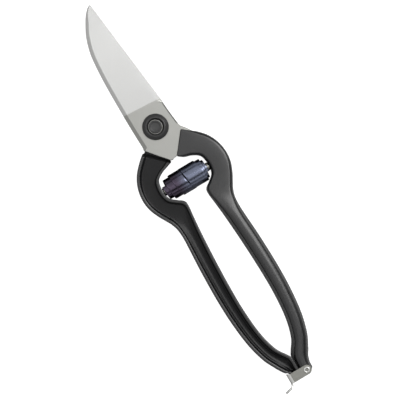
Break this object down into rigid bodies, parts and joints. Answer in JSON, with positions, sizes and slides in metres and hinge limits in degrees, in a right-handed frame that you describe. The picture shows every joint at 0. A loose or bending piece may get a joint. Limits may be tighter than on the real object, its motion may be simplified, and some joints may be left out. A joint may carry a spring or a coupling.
{
  "type": "pruning shears",
  "caption": "Hand pruning shears with crossed blades, round spring loop, volute spring, coated channel handles and a thumb catch.",
  "frame": {"origin": "on the pivot axis, on the flat underside of the pivot rivet's head", "axes": "+Y from the pivot to the blade tips, +X to the front lever's handle side, +Z out of the front face"},
  "size_m": [0.0522, 0.2337, 0.0141],
  "materials": {
    "blade_steel": "ground carbon steel, bright blade face and brushed pivot plate",
    "dip_coat": "smooth black dipped vinyl, semi-gloss",
    "black_steel": "black oxide, satin",
    "blued_steel": "tempered spring strip, blue-grey",
    "plated_steel": "dull nickel plating"
  },
  "bodies": {
    "front_lever_body": {"front_lever": "blade_steel", "front_grip": "dip_coat", "pivot_rivet": "black_steel", "front_pivot_washer": "black_steel", "back_pivot_washer": "black_steel", "front_spring_stud": "blade_steel", "volute_spring": "blued_steel", "catch_rivet": "plated_steel"},
    "back_lever_body": {"back_lever": "blade_steel", "back_grip": "dip_coat", "back_spring_stud": "blade_steel"},
    "catch_body": {"catch_plate": "plated_steel"}
  },
  "joints": [
    {"name": "lever_open", "type": "hinge", "parent": "front_lever_body", "child": "back_lever_body", "pos_m": [0, 0, 0.0069], "axis": [0, 0, -1], "range_deg": [0, 25], "deforming": ["volute_spring"]},
    {"name": "catch_swing", "type": "hinge", "parent": "front_lever_body", "child": "catch_body", "pos_m": [0.0036, -0.1527, 0.0127], "axis": [0, 0, 1], "range_deg": [0, 100]}
  ]
}
